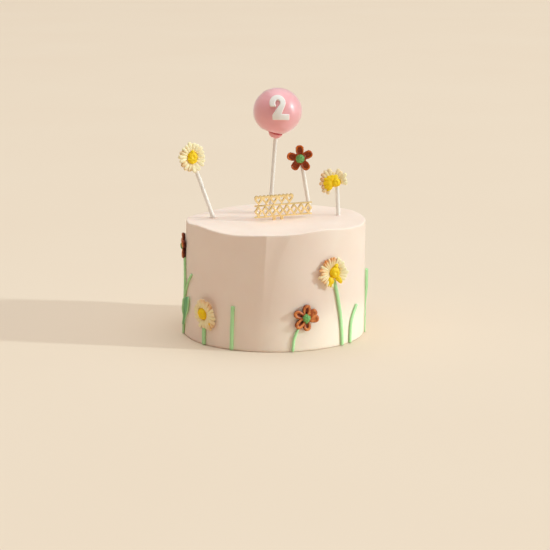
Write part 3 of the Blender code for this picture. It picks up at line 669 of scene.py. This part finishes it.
def make_flower(name, node, place, axes, sizes, dome, material, seed, melting=2, web=(5, 1.2), filled=()):
    """Looped petals round a dome (radius, height, shift, tail), in mm.

    The sizes are the flower's radius, a petal's width, the rope's radius and the floor.  A web (length, rise)
    fills each loop's outer part, so that its groove opens towards the dome, and the whole of a filled petal.
    """
    draw = random.Random(seed)
    radius, petal_width, rope, floor = in_mm(*sizes)
    web_length, web_rise = in_mm(*web)
    dome_radius, dome_height, dome_shift, tail = in_mm(*dome)
    half_long = 0.4 * radius
    half_wide = (petal_width - rope) / 2
    parts = []
    for axis in axes:
        reach = radius * draw.uniform(0.97, 1.02)
        height = rope + draw.uniform(0, 0.5) * MM
        length = 1.5 * web_length if axis in filled else web_length
        rise = web_rise + 1.1 * MM if axis in filled else web_rise
        parts.append(tube_loop(axis, 1.8 * MM, reach - rope, petal_width / 2 - rope, rope, height))
        parts.append(slab(axis, reach - half_long, half_long - 0.6 * rope, half_wide, floor))
        parts.append(slab(axis, reach - rope - length / 2, length / 2, half_wide, floor + rise))
    parts.append(slab(0, 0, 0.46 * radius, 0.46 * radius, floor + 0.5 * MM))
    flower = make_piece(name + "_petals", *join(parts), material, 80, place)
    fuse(flower, FLOWER_VOXEL, melting)
    stand_for(flower, node + "_petals")

    foot = floor + 0.2 * MM
    rings = []
    for i in range(GREEN_DOME_ROWS):
        part = i / (GREEN_DOME_ROWS - 1)
        lean = part * pi / 2
        r = max(dome_radius * cos(lean) ** 0.8, 0.04 * dome_radius)
        ring = []
        for turn in turns(DOME_SIDES):
            ridges = 0.26 * MM * sin(8 * turn + 3 * lean + seed) * sin(2 * lean)
            at = Vector(polar(r, turn, dome_height * sin(lean)))
            lump = ridges + 0.28 * MM * noise(at * 600 + UP * seed)
            stretch = 1 + lump / dome_radius
            pull = tail * max(0, -sin(turn)) ** 10 * (1 - part)
            ring.append((at.x * stretch, at.y * stretch - pull, foot + at.z * (1 + 0.8 * lump / dome_height)))
        rings.append(ring)
    rings.insert(0, [(x * 0.7, y * 0.7, foot - 0.5 * MM) for x, y, _ in rings[0]])
    middle = make_piece(name + "_dome", *skin(rings), green_dome_paste, 80,
                        place @ Matrix.Translation((dome_shift, 0, 0)))
    stand_for(middle, node + "_centre")


def brown_paste(name, hollow_shade, body, rim, low, high):
    """Brown fondant with painted shade, darker the lower it lies; its high rims are paler in patches, partly
    rubbed paste and partly painted highlight.
    """
    material, tree, shader, where = new_material(
        name, (0.06, (1, 0.3, 0.1), 0.8 * MM), Roughness=0.38, Specular_IOR_Level=0.45)
    height = add(tree, "SeparateXYZ", "Z", {"Vector": where})
    patches = add(tree, "TexNoise", "Fac", {"Vector": where, "Scale": 300, "Detail": 2})
    # Painted shade: the lower the paste lies, the darker it is.
    level = add(tree, "MapRange", "Result", {"Value": height, "From Min": low * MM, "From Max": high * MM})
    # Paler high rims in patches: partly rubbed paste, partly painted highlight.
    rubbed_rim_and_highlight = add(tree, "Math", "Value", {0: level, 1: patches}, operation="MULTIPLY")
    rubbed_rim_and_highlight = add(tree, "MapRange", "Result", {"Value": rubbed_rim_and_highlight, "From Min": 0.32, "From Max": 0.62})
    lit = add(tree, "Mix", 2, {0: rubbed_rim_and_highlight, 6: linear(body), 7: linear(rim)})
    dark = add(tree, "Mix", 2, {0: level, 6: linear(hollow_shade), 7: lit})
    finish(tree, shader, where, dark, 900, 0.2, 0.1)
    return material


# Colours: painted shade in the hollows, the body, and the paler rims that are partly painted highlight.
brown_rope_paste = brown_paste("sugar_paste_brown", "#541A08", "#A2420A", "#EA9050", 1.2, 3.1)
rust_rope_paste = brown_paste("sugar_paste_rust", "#983A0A", "#B84A08", "#EC7C1A", 1.5, 2.3)

# Green dome paste: the same dyed fondant as the stems, but a deeper green, ridged by a cone tool.
green_dome_paste = dyed_paste("sugar_paste_leaf_green", 500, "#2C7A26", "#98D480", 1200, 0.25, 0.1,
                              Roughness=0.5)

make_flower("front_flower", "side_flower_front", side_frame(-71, 28.4, -2), (33, 83, 152, 223, 279.5, 354),
            (11.4, 8.1, 1.5, 0.8), (3.7, 3.6, 0.7, 1.4), brown_rope_paste, 1, filled=(33, 354))
make_flower("edge_flower", "side_flower_edge", side_frame(-176, 75.4), (20, 92, 164, 236, 308),
            (11.6, 7.6, 1.5, 0.9), (3.5, 3.4, 0, 0), brown_rope_paste, 2)
make_flower("back_flower", "back_flower", side_frame(60, 38), (35, 92, 153, 212, 270, 331),
            (11, 7.4, 1.5, 0.8), (3.4, 3.6, 0, 0), brown_rope_paste, 3)

# Paper sticks: white paper rolled tight on itself, with its faint spiral seam, pushed into the icing.
STICK_RADIUS = 1.75 * MM
STICK_EDGE = 0.15 * MM
STICK_DEPTH = 28 * MM
STICK_SIDES = 32
SPIRAL_PITCH = 9 * MM
LIP_STEPS = 36
LIP_SIDES = 10

# Rolled paper: smooth uncoated white paper, matt, with a hair-line spiral seam.
rolled_paper, tree, shader, where = new_material("paper_rolled_white", Roughness=0.6)
axes = add(tree, "SeparateXYZ", "X", {"Vector": where}).node.outputs
turn = add(tree, "Math", "Value", {0: axes["Y"], 1: axes["X"]}, operation="ARCTAN2")
turn = add(tree, "Math", "Value", {0: turn, 1: tau}, operation="DIVIDE")
climb = add(tree, "Math", "Value", {0: axes["Z"], 1: 1 / SPIRAL_PITCH}, operation="MULTIPLY")
spiral = add(tree, "Math", "Value", {0: turn, 1: climb}, operation="ADD")
spiral = add(tree, "Math", "Value", {0: spiral, 1: 1, 2: 0}, operation="WRAP")
seam = add(tree, "MapRange", "Result", {"Value": spiral, "From Min": 0, "From Max": 0.05})
white = add(tree, "Mix", 2, {0: seam, 6: linear("#E6DACB"), 7: linear("#FDF8F0")})
finish(tree, shader, where, white, 1500, 0.25, 0.08, 2, seam)


def make_stick(name, node, foot, end):
    """Stick from inside the cake to its end, and the lip of icing that it pushed up."""
    axis = (end - foot).normalized()
    start = foot - axis * STICK_DEPTH
    length = (end - start).length
    rows = max(2, round(length / (3 * MM)))
    levels = [(0, STICK_RADIUS - STICK_EDGE)]
    levels += [(STICK_EDGE + (length - 2 * STICK_EDGE) * i / rows, STICK_RADIUS) for i in range(rows + 1)]
    levels.append((length, STICK_RADIUS - STICK_EDGE))
    rings = [[polar(radius, turn, height) for turn in turns(STICK_SIDES)] for height, radius in levels]
    stick = make_piece(name, *skin(rings), rolled_paper, 50, frame_from(start, axis, Vector((0, 1, 0))))
    stand_for(stick, node)

    rings = []
    for i in range(LIP_STEPS):
        outward = heading(360 * i / LIP_STEPS)
        swell = 0.5 + 0.25 * noise(outward * 1.5 + foot * 90)
        ring = []
        for bend in turns(LIP_SIDES):
            wide = STICK_RADIUS * 1.08 + swell * MM * (1 + 1.3 * cos(bend))
            ring.append(foot + outward * wide + UP * (swell * MM * 0.8 * sin(bend) - 0.1 * MM))
        rings.append(ring)
    lip = make_piece(name + "_icing_lip", *skin(rings, True), buttercream, 80)
    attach(lip, "root")


# Toppers on sticks: two daisies and one five-petalled flower, made like those on the side.
# The sticks run up into the domes, or behind the flower.
left_foot = Vector((-51.7, 5.9, 97.5)) * MM
left_centre = Vector((-69.9, 6.6, 149.5)) * MM
left_end = left_centre + (left_foot - left_centre).normalized() * 2 * MM
left_place = frame_from(left_centre, heading(-63, 5)) @ Matrix.Translation((0, 0, -1.2 * MM))
make_daisy("left_topper", "topper_daisy_left", left_place, 12.8, 18, (-57, -48), 0.8, (4.8, 5.8, 0.4), 9,
           ((20, 70, 1), (0, 181, 0.6)), ((195, 80, 0.45),), 0.06,
           ((-98, 0, 5.7, 8.6, 5.6), (84, 2.8, 5.9, 3.6, 4.8)), riding=((-68, 36, 2.6),))
make_stick("left_topper_stick", "topper_daisy_left_stick", left_foot, left_end)

right_foot = Vector((55.3, 16.4, 97.5)) * MM
right_centre = Vector((51.3, 17.2, 125.9)) * MM
right_end = Vector((54.2, 17.2, 124.5)) * MM
right_place = frame_from(right_centre, heading(-86, 8)) @ Matrix.Translation((0, 0, -2.3 * MM))
make_daisy("right_topper", "topper_daisy_right", right_place, 12.7, 14, (-112, -12), 0.8, (4.2, 6.4, 2), 3,
           ((0, 181, 0.8),), ((185, 60, 0.7), (90, 60, 0.3)), 0.07,
           ((160, 1, 9.4, 4.6, 5.4), (184, 1, 9.6, 5, 5.8), (207, 1, 9.6, 5, 5.6),
            (229, 2, 9.4, 4.6, 5.2), (136, 1.5, 7.8, 5, 5.4), (108, 1.5, 6.9, 5, 5.2),
            (72, 1.5, 7.2, 4.6, 5)), ((90, 9, 0.2),))
make_stick("right_topper_stick", "topper_daisy_right_stick", right_foot, right_end)

flower_centre = Vector((22.6, 26, 145.3)) * MM
flower_facing = heading(-90, 4)
make_flower("rust_topper", "topper_flower", frame_from(flower_centre, flower_facing),
            (27.5, 93, 166.8, 237, 307.3), (11.6, 8, 0.85, 1.2), (3.8, 3, 0, 0), rust_rope_paste, 5, 5,
            (3, 0.3))
flower_end = flower_centre + Vector((0.8 * MM, 0, 0)) - flower_facing * (STICK_RADIUS + 0.5 * MM)
make_stick("rust_topper_stick", "topper_flower_stick", Vector((31.3, 29.2, 97.5)) * MM, flower_end)

# Balloon: a ball of pink paste on a stick, polished smooth in the hands, with a rolled lip
# for its knot and a plain number on its front.
BALLOON_FOOT = Vector((-3.4, 22.7, 97.5)) * MM
BALLOON_CENTRE = Vector((3.2, 23, 186.6)) * MM
BALL_HALF_WIDTH = 20.8 * MM
BALL_HALF_HEIGHT = 19.8 * MM
BALL_FLAT_TILT = radians(16)
BALL_FLAT_AT = 17.4 * MM
BALL_FLAT_KEEP = 0.3
BALL_HOLE_DEPTH = 12 * MM
BALL_ROWS = 64
BALL_SIDES = 112
KNOT_RADIUS = 6.1 * MM
KNOT_HEIGHT = 6 * MM
KNOT_NUDGE = Vector((0, -1.4, 1.6)) * MM
KNOT_SIDES = 72
KNOT_PROFILE = ((0.55, 0.04), (0.8, 0.02), (0.95, -0.08), (1, -0.24), (0.99, -0.4), (0.93, -0.56),
                (0.82, -0.72), (0.68, -0.87), (0.5, -0.98), (0.34, -1.03))
NUMBER_RAISE = 2 * MM
NUMBER_SCALE = 0.92 * MM
NUMBER_LIFT = 0.2 * MM
NUMBER_BEVEL = 0.65 * MM
NUMBER_CELL = 0.9 * MM


def ball_point(direction, out=0):
    """Point of the balloon's skin in a direction from its centre, flatter at the knot."""
    way = direction.normalized()
    across = (way.x ** 2 + way.y ** 2) / BALL_HALF_WIDTH ** 2
    radius = 1 / sqrt(across + way.z ** 2 / BALL_HALF_HEIGHT ** 2)
    facing_flat = way.dot(Vector((-sin(BALL_FLAT_TILT), 0, -cos(BALL_FLAT_TILT))))
    if radius * facing_flat > BALL_FLAT_AT:
        radius -= (1 - BALL_FLAT_KEEP) * (radius - BALL_FLAT_AT / facing_flat)
    return BALLOON_CENTRE + way * (radius + out)


# Pink paste: fondant buffed with a little fat, so it has a satin gloss over faint hand-rolled waves.
pink_paste = dyed_paste("sugar_paste_pink_buffed", 60, "#F2A3A9", "#F8B3B7", 130, 0.1, 0.3,
                        (0.12, (1, 0.4, 0.35), 2 * MM), Roughness=0.5, IOR=1.46, Coat_Weight=0.6,
                        Coat_Roughness=0.31, Sheen_Weight=0.8, Sheen_Roughness=0.45)

rings = []
for row in range(1, BALL_ROWS):
    fall = pi * row / BALL_ROWS
    ring = []
    for turn in turns(BALL_SIDES):
        way = Vector(polar(sin(fall), turn, cos(fall)))
        left = min(1, max(0, 0.5 - 1.4 * way.x)) * abs(way.z) ** 2
        streaks = 0.45 * MM * noise(Vector((0.9 * way.x, 0.9 * way.y, 13 * way.z + 2.5 * way.x))) * left
        ring.append(ball_point(way, 0.16 * MM * noise(way * 2.1) + streaks))
    rings.append(ring)
stand_for(make_piece("balloon", *skin(rings), pink_paste, 80), "balloon_ball")

# Rose paste: the same fondant with more dye, for the knot's rolled lip, with a dark red painted near its top
# as painted shade in the fold at the ball.
rose_paste, tree, shader, where = new_material(
    "sugar_paste_rose", (0.1, (1, 0.35, 0.3), 1.2 * MM), Roughness=0.4, IOR=1.46)
dye = two_tones(tree, where, 220, "#EC9CA0", "#F6B2B2")[1]
height = add(tree, "SeparateXYZ", "Z", {"Vector": where})
# Painted shade: dark red towards the knot's top, where it meets the ball.
fold_shade = add(tree, "MapRange", "Result", {"Value": height, "From Min": -3 * MM, "From Max": -1.4 * MM})
dye = add(tree, "Mix", 2, {0: fold_shade, 6: dye, 7: linear("#C2303C")})
finish(tree, shader, where, dye, 800, 0.15, 0.1)

down = (BALLOON_FOOT - BALLOON_CENTRE).normalized()
under_ball = ball_point(down)
rings = []
for level, (share, height) in enumerate(KNOT_PROFILE):
    ring = []
    for turn in turns(KNOT_SIDES):
        pleat = 0.01 * cos(11 * turn + 0.6 * sin(2 * turn)) * sin(pi * level / 9)
        wave = 0.05 * noise(Vector(polar(1.5, turn, 0.3 * level)))
        r = KNOT_RADIUS * share * (1 + pleat + wave)
        ring.append(polar(r, turn, KNOT_HEIGHT * (height + 0.6 * pleat)))
    rings.append(ring)
knot_axis = Vector((sin(BALL_FLAT_TILT), 0, cos(BALL_FLAT_TILT)))
knot_place = frame_from(under_ball + KNOT_NUDGE, knot_axis, Vector((0, 1, 0)))
knot = make_piece("balloon_lip", *skin(rings), rose_paste, 80, knot_place)
stand_for(knot, "balloon_knot")

stick_end = BALLOON_CENTRE + down * ((under_ball - BALLOON_CENTRE).length - BALL_HOLE_DEPTH)
make_stick("balloon_paper_stick", "balloon_stick", BALLOON_FOOT, stick_end)


def arc(centre, radii, start, end, steps):
    """Points along part of an ellipse, angles in degrees."""
    points = []
    for i in range(steps + 1):
        turn = radians(start + (end - start) * i / steps)
        points.append((centre[0] + radii[0] * cos(turn), centre[1] + radii[1] * sin(turn)))
    return points


def inset(outline, amount):
    """The outline moved in by an amount along each corner's own bisector."""
    moved = []
    for i, here in enumerate(outline):
        before = (here - outline[i - 1]).normalized()
        after = (outline[(i + 1) % len(outline)] - here).normalized()
        normal = Vector((before.y, -before.x))
        inward = (normal + Vector((after.y, -after.x))).normalized()
        square = max(0.6, inward.dot(normal))
        moved.append(here + inward * amount / square)
    return moved


# Number: white paste rolled flat, cut with a cutter, its edges rubbed round and laid on the ball.
number_paste = dyed_paste("sugar_paste_white", 300, "#F5EEE6", "#FDF8F4", 900, 0.2, 0.1,
                          (0.1, (1, 0.8, 0.6), 1 * MM), Roughness=0.5)

# A plain rounded 2 in millimetres: its outer bow, its foot, its inner bow and its hook
corners = arc((-0.1, 7), (7, 6.9), 210, -18, 34)
corners += [(3.4, -2.7), (10.1, -3.1), (10, -8), (-4.3, -7.7), (-4.6, -3.5)]
corners += arc((0, 6.9), (2.1, 2.7), -28, 200, 18) + [(-1.5, 3.6)]
outline = [Vector((x, y)) * NUMBER_SCALE for x, y in corners]
levels = [(0, -0.3 * MM), (0, NUMBER_RAISE - NUMBER_BEVEL)]
levels += [(inward, NUMBER_RAISE - drop) for inward, drop in rounded(NUMBER_BEVEL, 30, 60, 90)]
work = bmesh.new()
loops = [[work.verts.new((p.x, p.y + NUMBER_LIFT, height)) for p in inset(outline, amount)]
         for amount, height in levels]
for low, high in zip(loops, loops[1:]):
    for i in range(len(low)):
        k = (i + 1) % len(low)
        work.faces.new((low[i], low[k], high[k], high[i]))
work.faces.new(loops[0])
work.faces.new(loops[-1])
for axis in (Vector((1, 0, 0)), Vector((0, 1, 0))):
    values = [point.co.dot(axis) for point in work.verts]
    level = min(values) + NUMBER_CELL
    while level < max(values) - NUMBER_CELL / 2:
        bmesh.ops.bisect_plane(work, geom=work.verts[:] + work.edges[:] + work.faces[:],
                               plane_co=axis * level, plane_no=axis, dist=0.02 * MM)
        level += NUMBER_CELL
bmesh.ops.triangulate(work, faces=work.faces[:])
number_frame = frame_from(Vector((0, 0, 0)), heading(-90, 7)).to_3x3()
for vertex in work.verts:
    x, y, out = vertex.co
    depth = sqrt(BALL_HALF_WIDTH ** 2 - x * x - y * y)
    vertex.co = ball_point(number_frame @ Vector((x, y, depth)), out)
work.verts.index_update()
number = make_piece("number_two", [v.co[:] for v in work.verts],
                    [tuple(v.index for v in f.verts) for f in work.faces], number_paste, 40)
work.free()
stand_for(number, "balloon_number")

# Plate: mirror acrylic, laser-cut into a row of hearts on a band of lozenges, on two short legs
# pushed into the icing.  Its edges are crisp, with a hair of polish along them.
PLATE_FOOT = Vector((3.5, -3.5, 97.5)) * MM
PLATE_HEADING = -66
PLATE_LEFT = -21.5 * MM
PLATE_RIGHT = 31.5 * MM
PLATE_CLEAR = 2.6 * MM
PLATE_THICK = 1.5 * MM
PLATE_POLISH = 0.12 * MM
RAIL_HEIGHT = 1.3 * MM
BAND_HEIGHT = 10.9 * MM
HEART_ROW_RIGHT = 14 * MM
HEART_ROW_HEIGHT = 8.3 * MM
HEARTS = 5
HEART_POINTS = 40
LOZENGES = 8
LEG_WIDTH = 2.6 * MM
LEG_SPREAD = 7 * MM
LEG_DEPTH = 20 * MM

# Mirror acrylic: a gold film behind clear plastic.  It is bright and warm, slightly wavy,
# with faint rubbed patches.
gold_mirror, tree, shader, where = new_material("acrylic_gold_mirror", IOR=1.5, Metallic=0.38)
patches, film = two_tones(tree, where, 90, "#F8D48E", "#FFE6AE", 3)
rub = add(tree, "MapRange", "Result", {"Value": patches, "To Min": 0.12, "To Max": 0.24})
tree.links.new(rub, shader.inputs["Roughness"])
finish(tree, shader, where, film, 160, 0.15, 0.2, 1)


def cut_out(name, outline, thick, hole=None):
    """Slab of an outline in the plate's plane, with an equal-count hole or none."""
    half = thick / 2
    loops = [[(x, y, -half) for x, y in outline], [(x, y, half) for x, y in outline]]
    if hole:
        loops += [[(x, y, half) for x, y in hole], [(x, y, -half) for x, y in hole]]
        return make_piece(name, *skin(loops, True), gold_mirror, 30)
    count = len(outline)
    faces = [(i, (i + 1) % count, (i + 1) % count + count, i + count) for i in range(count)]
    faces += [tuple(range(count)), tuple(range(count, 2 * count))]
    return make_piece(name, loops[0] + loops[1], faces, gold_mirror, 30)


def rectangle(left, right, low, high):
    return [(left, low), (right, low), (right, high), (left, high)]


def heart(centre_x, low, width, height):
    """Heart with its point at the bottom."""
    points = []
    for turn in turns(HEART_POINTS):
        x = sin(turn) ** 3
        y = (13 * cos(turn) - 5 * cos(2 * turn) - 2 * cos(3 * turn) - cos(4 * turn)) / 29
        points.append((centre_x + x * width / 2, low + (y + 17 / 29) * height))
    return points


def lozenge(x, y, width, height):
    return [(x - width / 2, y), (x, y - height / 2), (x + width / 2, y), (x, y + height / 2)]


low = PLATE_CLEAR
band_top = low + BAND_HEIGHT
lower_rail = rectangle(PLATE_LEFT, PLATE_RIGHT, low, low + RAIL_HEIGHT)
upper_rail = rectangle(PLATE_LEFT, PLATE_RIGHT, band_top - RAIL_HEIGHT, band_top)
plate = cut_out("gold_plate", lower_rail, PLATE_THICK - 0.3 * MM)
cuts = [cut_out("upper_rail", upper_rail, PLATE_THICK - 0.2 * MM)]
pitch = (PLATE_RIGHT - PLATE_LEFT) / LOZENGES
middle = low + BAND_HEIGHT / 2
tall = BAND_HEIGHT - 0.7 * MM
wide = pitch + 0.5 * MM
for i in range(LOZENGES):
    x = PLATE_LEFT + pitch * (i + 0.5)
    thick = PLATE_THICK - 0.1 * (i % 2) * MM
    hole = lozenge(x, middle, wide / 2, tall / 2)
    cuts.append(cut_out("lozenge", lozenge(x, middle, wide, tall), thick, hole))
pitch = (HEART_ROW_RIGHT - PLATE_LEFT) / HEARTS
base = band_top - 0.6 * MM
tall = HEART_ROW_HEIGHT + 0.6 * MM
wide = pitch + 0.3 * MM
for i in range(HEARTS):
    x = PLATE_LEFT + pitch * (i + 0.5)
    thick = PLATE_THICK - 0.1 * (i % 2) * MM
    hole = heart(x, base + tall * 0.32, wide * 0.46, tall * 0.42)
    cuts.append(cut_out("heart", heart(x, base, wide, tall), thick, hole))
for x in (-LEG_SPREAD / 2, LEG_SPREAD / 2):
    leg = rectangle(x - LEG_WIDTH / 2, x + LEG_WIDTH / 2, -LEG_DEPTH, low + 1 * MM)
    cuts.append(cut_out("leg", leg, PLATE_THICK - 0.6 * MM))
joined = bpy.data.collections.new("plate_cuts")
for cut in cuts:
    joined.objects.link(cut)
modify(plate, "BOOLEAN", operation="UNION", operand_type="COLLECTION", collection=joined, solver="EXACT")
modify(plate, "BEVEL", width=PLATE_POLISH, segments=2, limit_method="ANGLE", angle_limit=radians(50))
settle(plate)
for cut in cuts:
    bpy.data.objects.remove(cut, do_unlink=True)
plate.data.shade_smooth()
plate.data.set_sharp_from_angle(angle=radians(35))
plate.matrix_world = frame_from(PLATE_FOOT, heading(PLATE_HEADING))
stand_for(plate, "topper_plate")

# The room: a plain pale floor under a pale ceiling, with dim warm walls.  At the right are a tall
# soft light, a flat strip of light along the floor and a tall strip that shows in the gloss alone.
CAMERA_PLACE = (1 * MM, -1552.7 * MM, 382 * MM)
CAMERA_TILT = radians(12.12)
CAMERA_LENS = 121.4
KEY_COLOUR = (0.83, 1, 1.036)
LOW_COLOUR = (0.69, 0.97, 0.84)
LOW_DISTANCE = 2
LOW_HEIGHT = 34 * MM
LOW_SPREAD = 220 * MM
STRIP_COLOUR = (1, 0.95, 0.92)
SHADE_COLOUR = (0.07, 0.02, 0, 1)
WALL_COLOUR = (0.27, 0.21, 0.15, 1)
OVERHEAD_COLOUR = (2.34, 2.45, 2.47, 1)

# Floor paint: dead matt emulsion, rolled on, with broad faint patches.
floor_paint, tree, shader, where = new_material(
    "floor_paint_matt", IOR=1.5, Roughness=0.9, Specular_IOR_Level=0.1)
paint = two_tones(tree, where, 3, "#E8D4BE", "#EAD8C3")[1]
tree.links.new(paint, shader.inputs["Base Color"])
floor_mesh = bpy.data.meshes.new("floor")
floor_mesh.from_pydata([(-9, -9, 0), (9, -9, 0), (9, 14, 0), (-9, 14, 0)], [], [(0, 1, 2, 3)])
floor_mesh.materials.append(floor_paint)
new_object("floor", floor_mesh)


def hang_light(name, kind, way, distance, height, **settings):
    """Light that shines from a way and a distance at a height on the middle line."""
    data = set_all(bpy.data.lights.new(name, kind), settings)
    return new_object(name, data, location=UP * height + way * distance, rotation_mode="QUATERNION",
                      rotation_quaternion=way.to_track_quat("Z", "Y"))


hang_light("key", "AREA", heading(-10, 21), 18, 0.12, energy=1700, color=KEY_COLOUR,
           shape="RECTANGLE", size=0.6, size_y=1.4)
low_glow = hang_light("low_glow", "SPOT", heading(-25), LOW_DISTANCE, 4 * MM, energy=52, color=LOW_COLOUR,
                      spot_size=2 * atan(LOW_HEIGHT / LOW_DISTANCE), spot_blend=1, shadow_soft_size=0.01)
low_glow.scale = (LOW_SPREAD / LOW_HEIGHT, 1, 1)
strip = hang_light("strip", "AREA", heading(-6), 2, 0.95, energy=26, color=STRIP_COLOUR,
                   shape="RECTANGLE", size=0.14, size_y=1.7)
strip.visible_diffuse = False

world = bpy.data.worlds.new("room")
world.use_nodes = True
tree = world.node_tree
way = add(tree, "SeparateXYZ", "X", {"Vector": add(tree, "TexCoord", "Generated")}).node.outputs
height = add(tree, "Math", "Value", {0: way["Z"], 1: 0}, operation="MAXIMUM")
overhead = add(tree, "Math", "Value", {0: height, 1: 4}, operation="POWER")
behind = add(tree, "MapRange", "Result", {"Value": way["Y"], "From Min": -1, "From Max": 1})
wall = add(tree, "Mix", 2, {0: behind, 6: SHADE_COLOUR, 7: WALL_COLOUR})
glow = add(tree, "Mix", 2, {0: overhead, 6: wall, 7: OVERHEAD_COLOUR})
tree.links.new(glow, tree.nodes["Background"].inputs["Color"])
scene.world = world
scene.view_settings.view_transform = "Standard"

camera_data = set_all(bpy.data.cameras.new("camera"), {"lens": CAMERA_LENS, "sensor_width": 36})
scene.camera = new_object("camera", camera_data, location=CAMERA_PLACE,
                          rotation_euler=(pi / 2 - CAMERA_TILT, 0, 0))
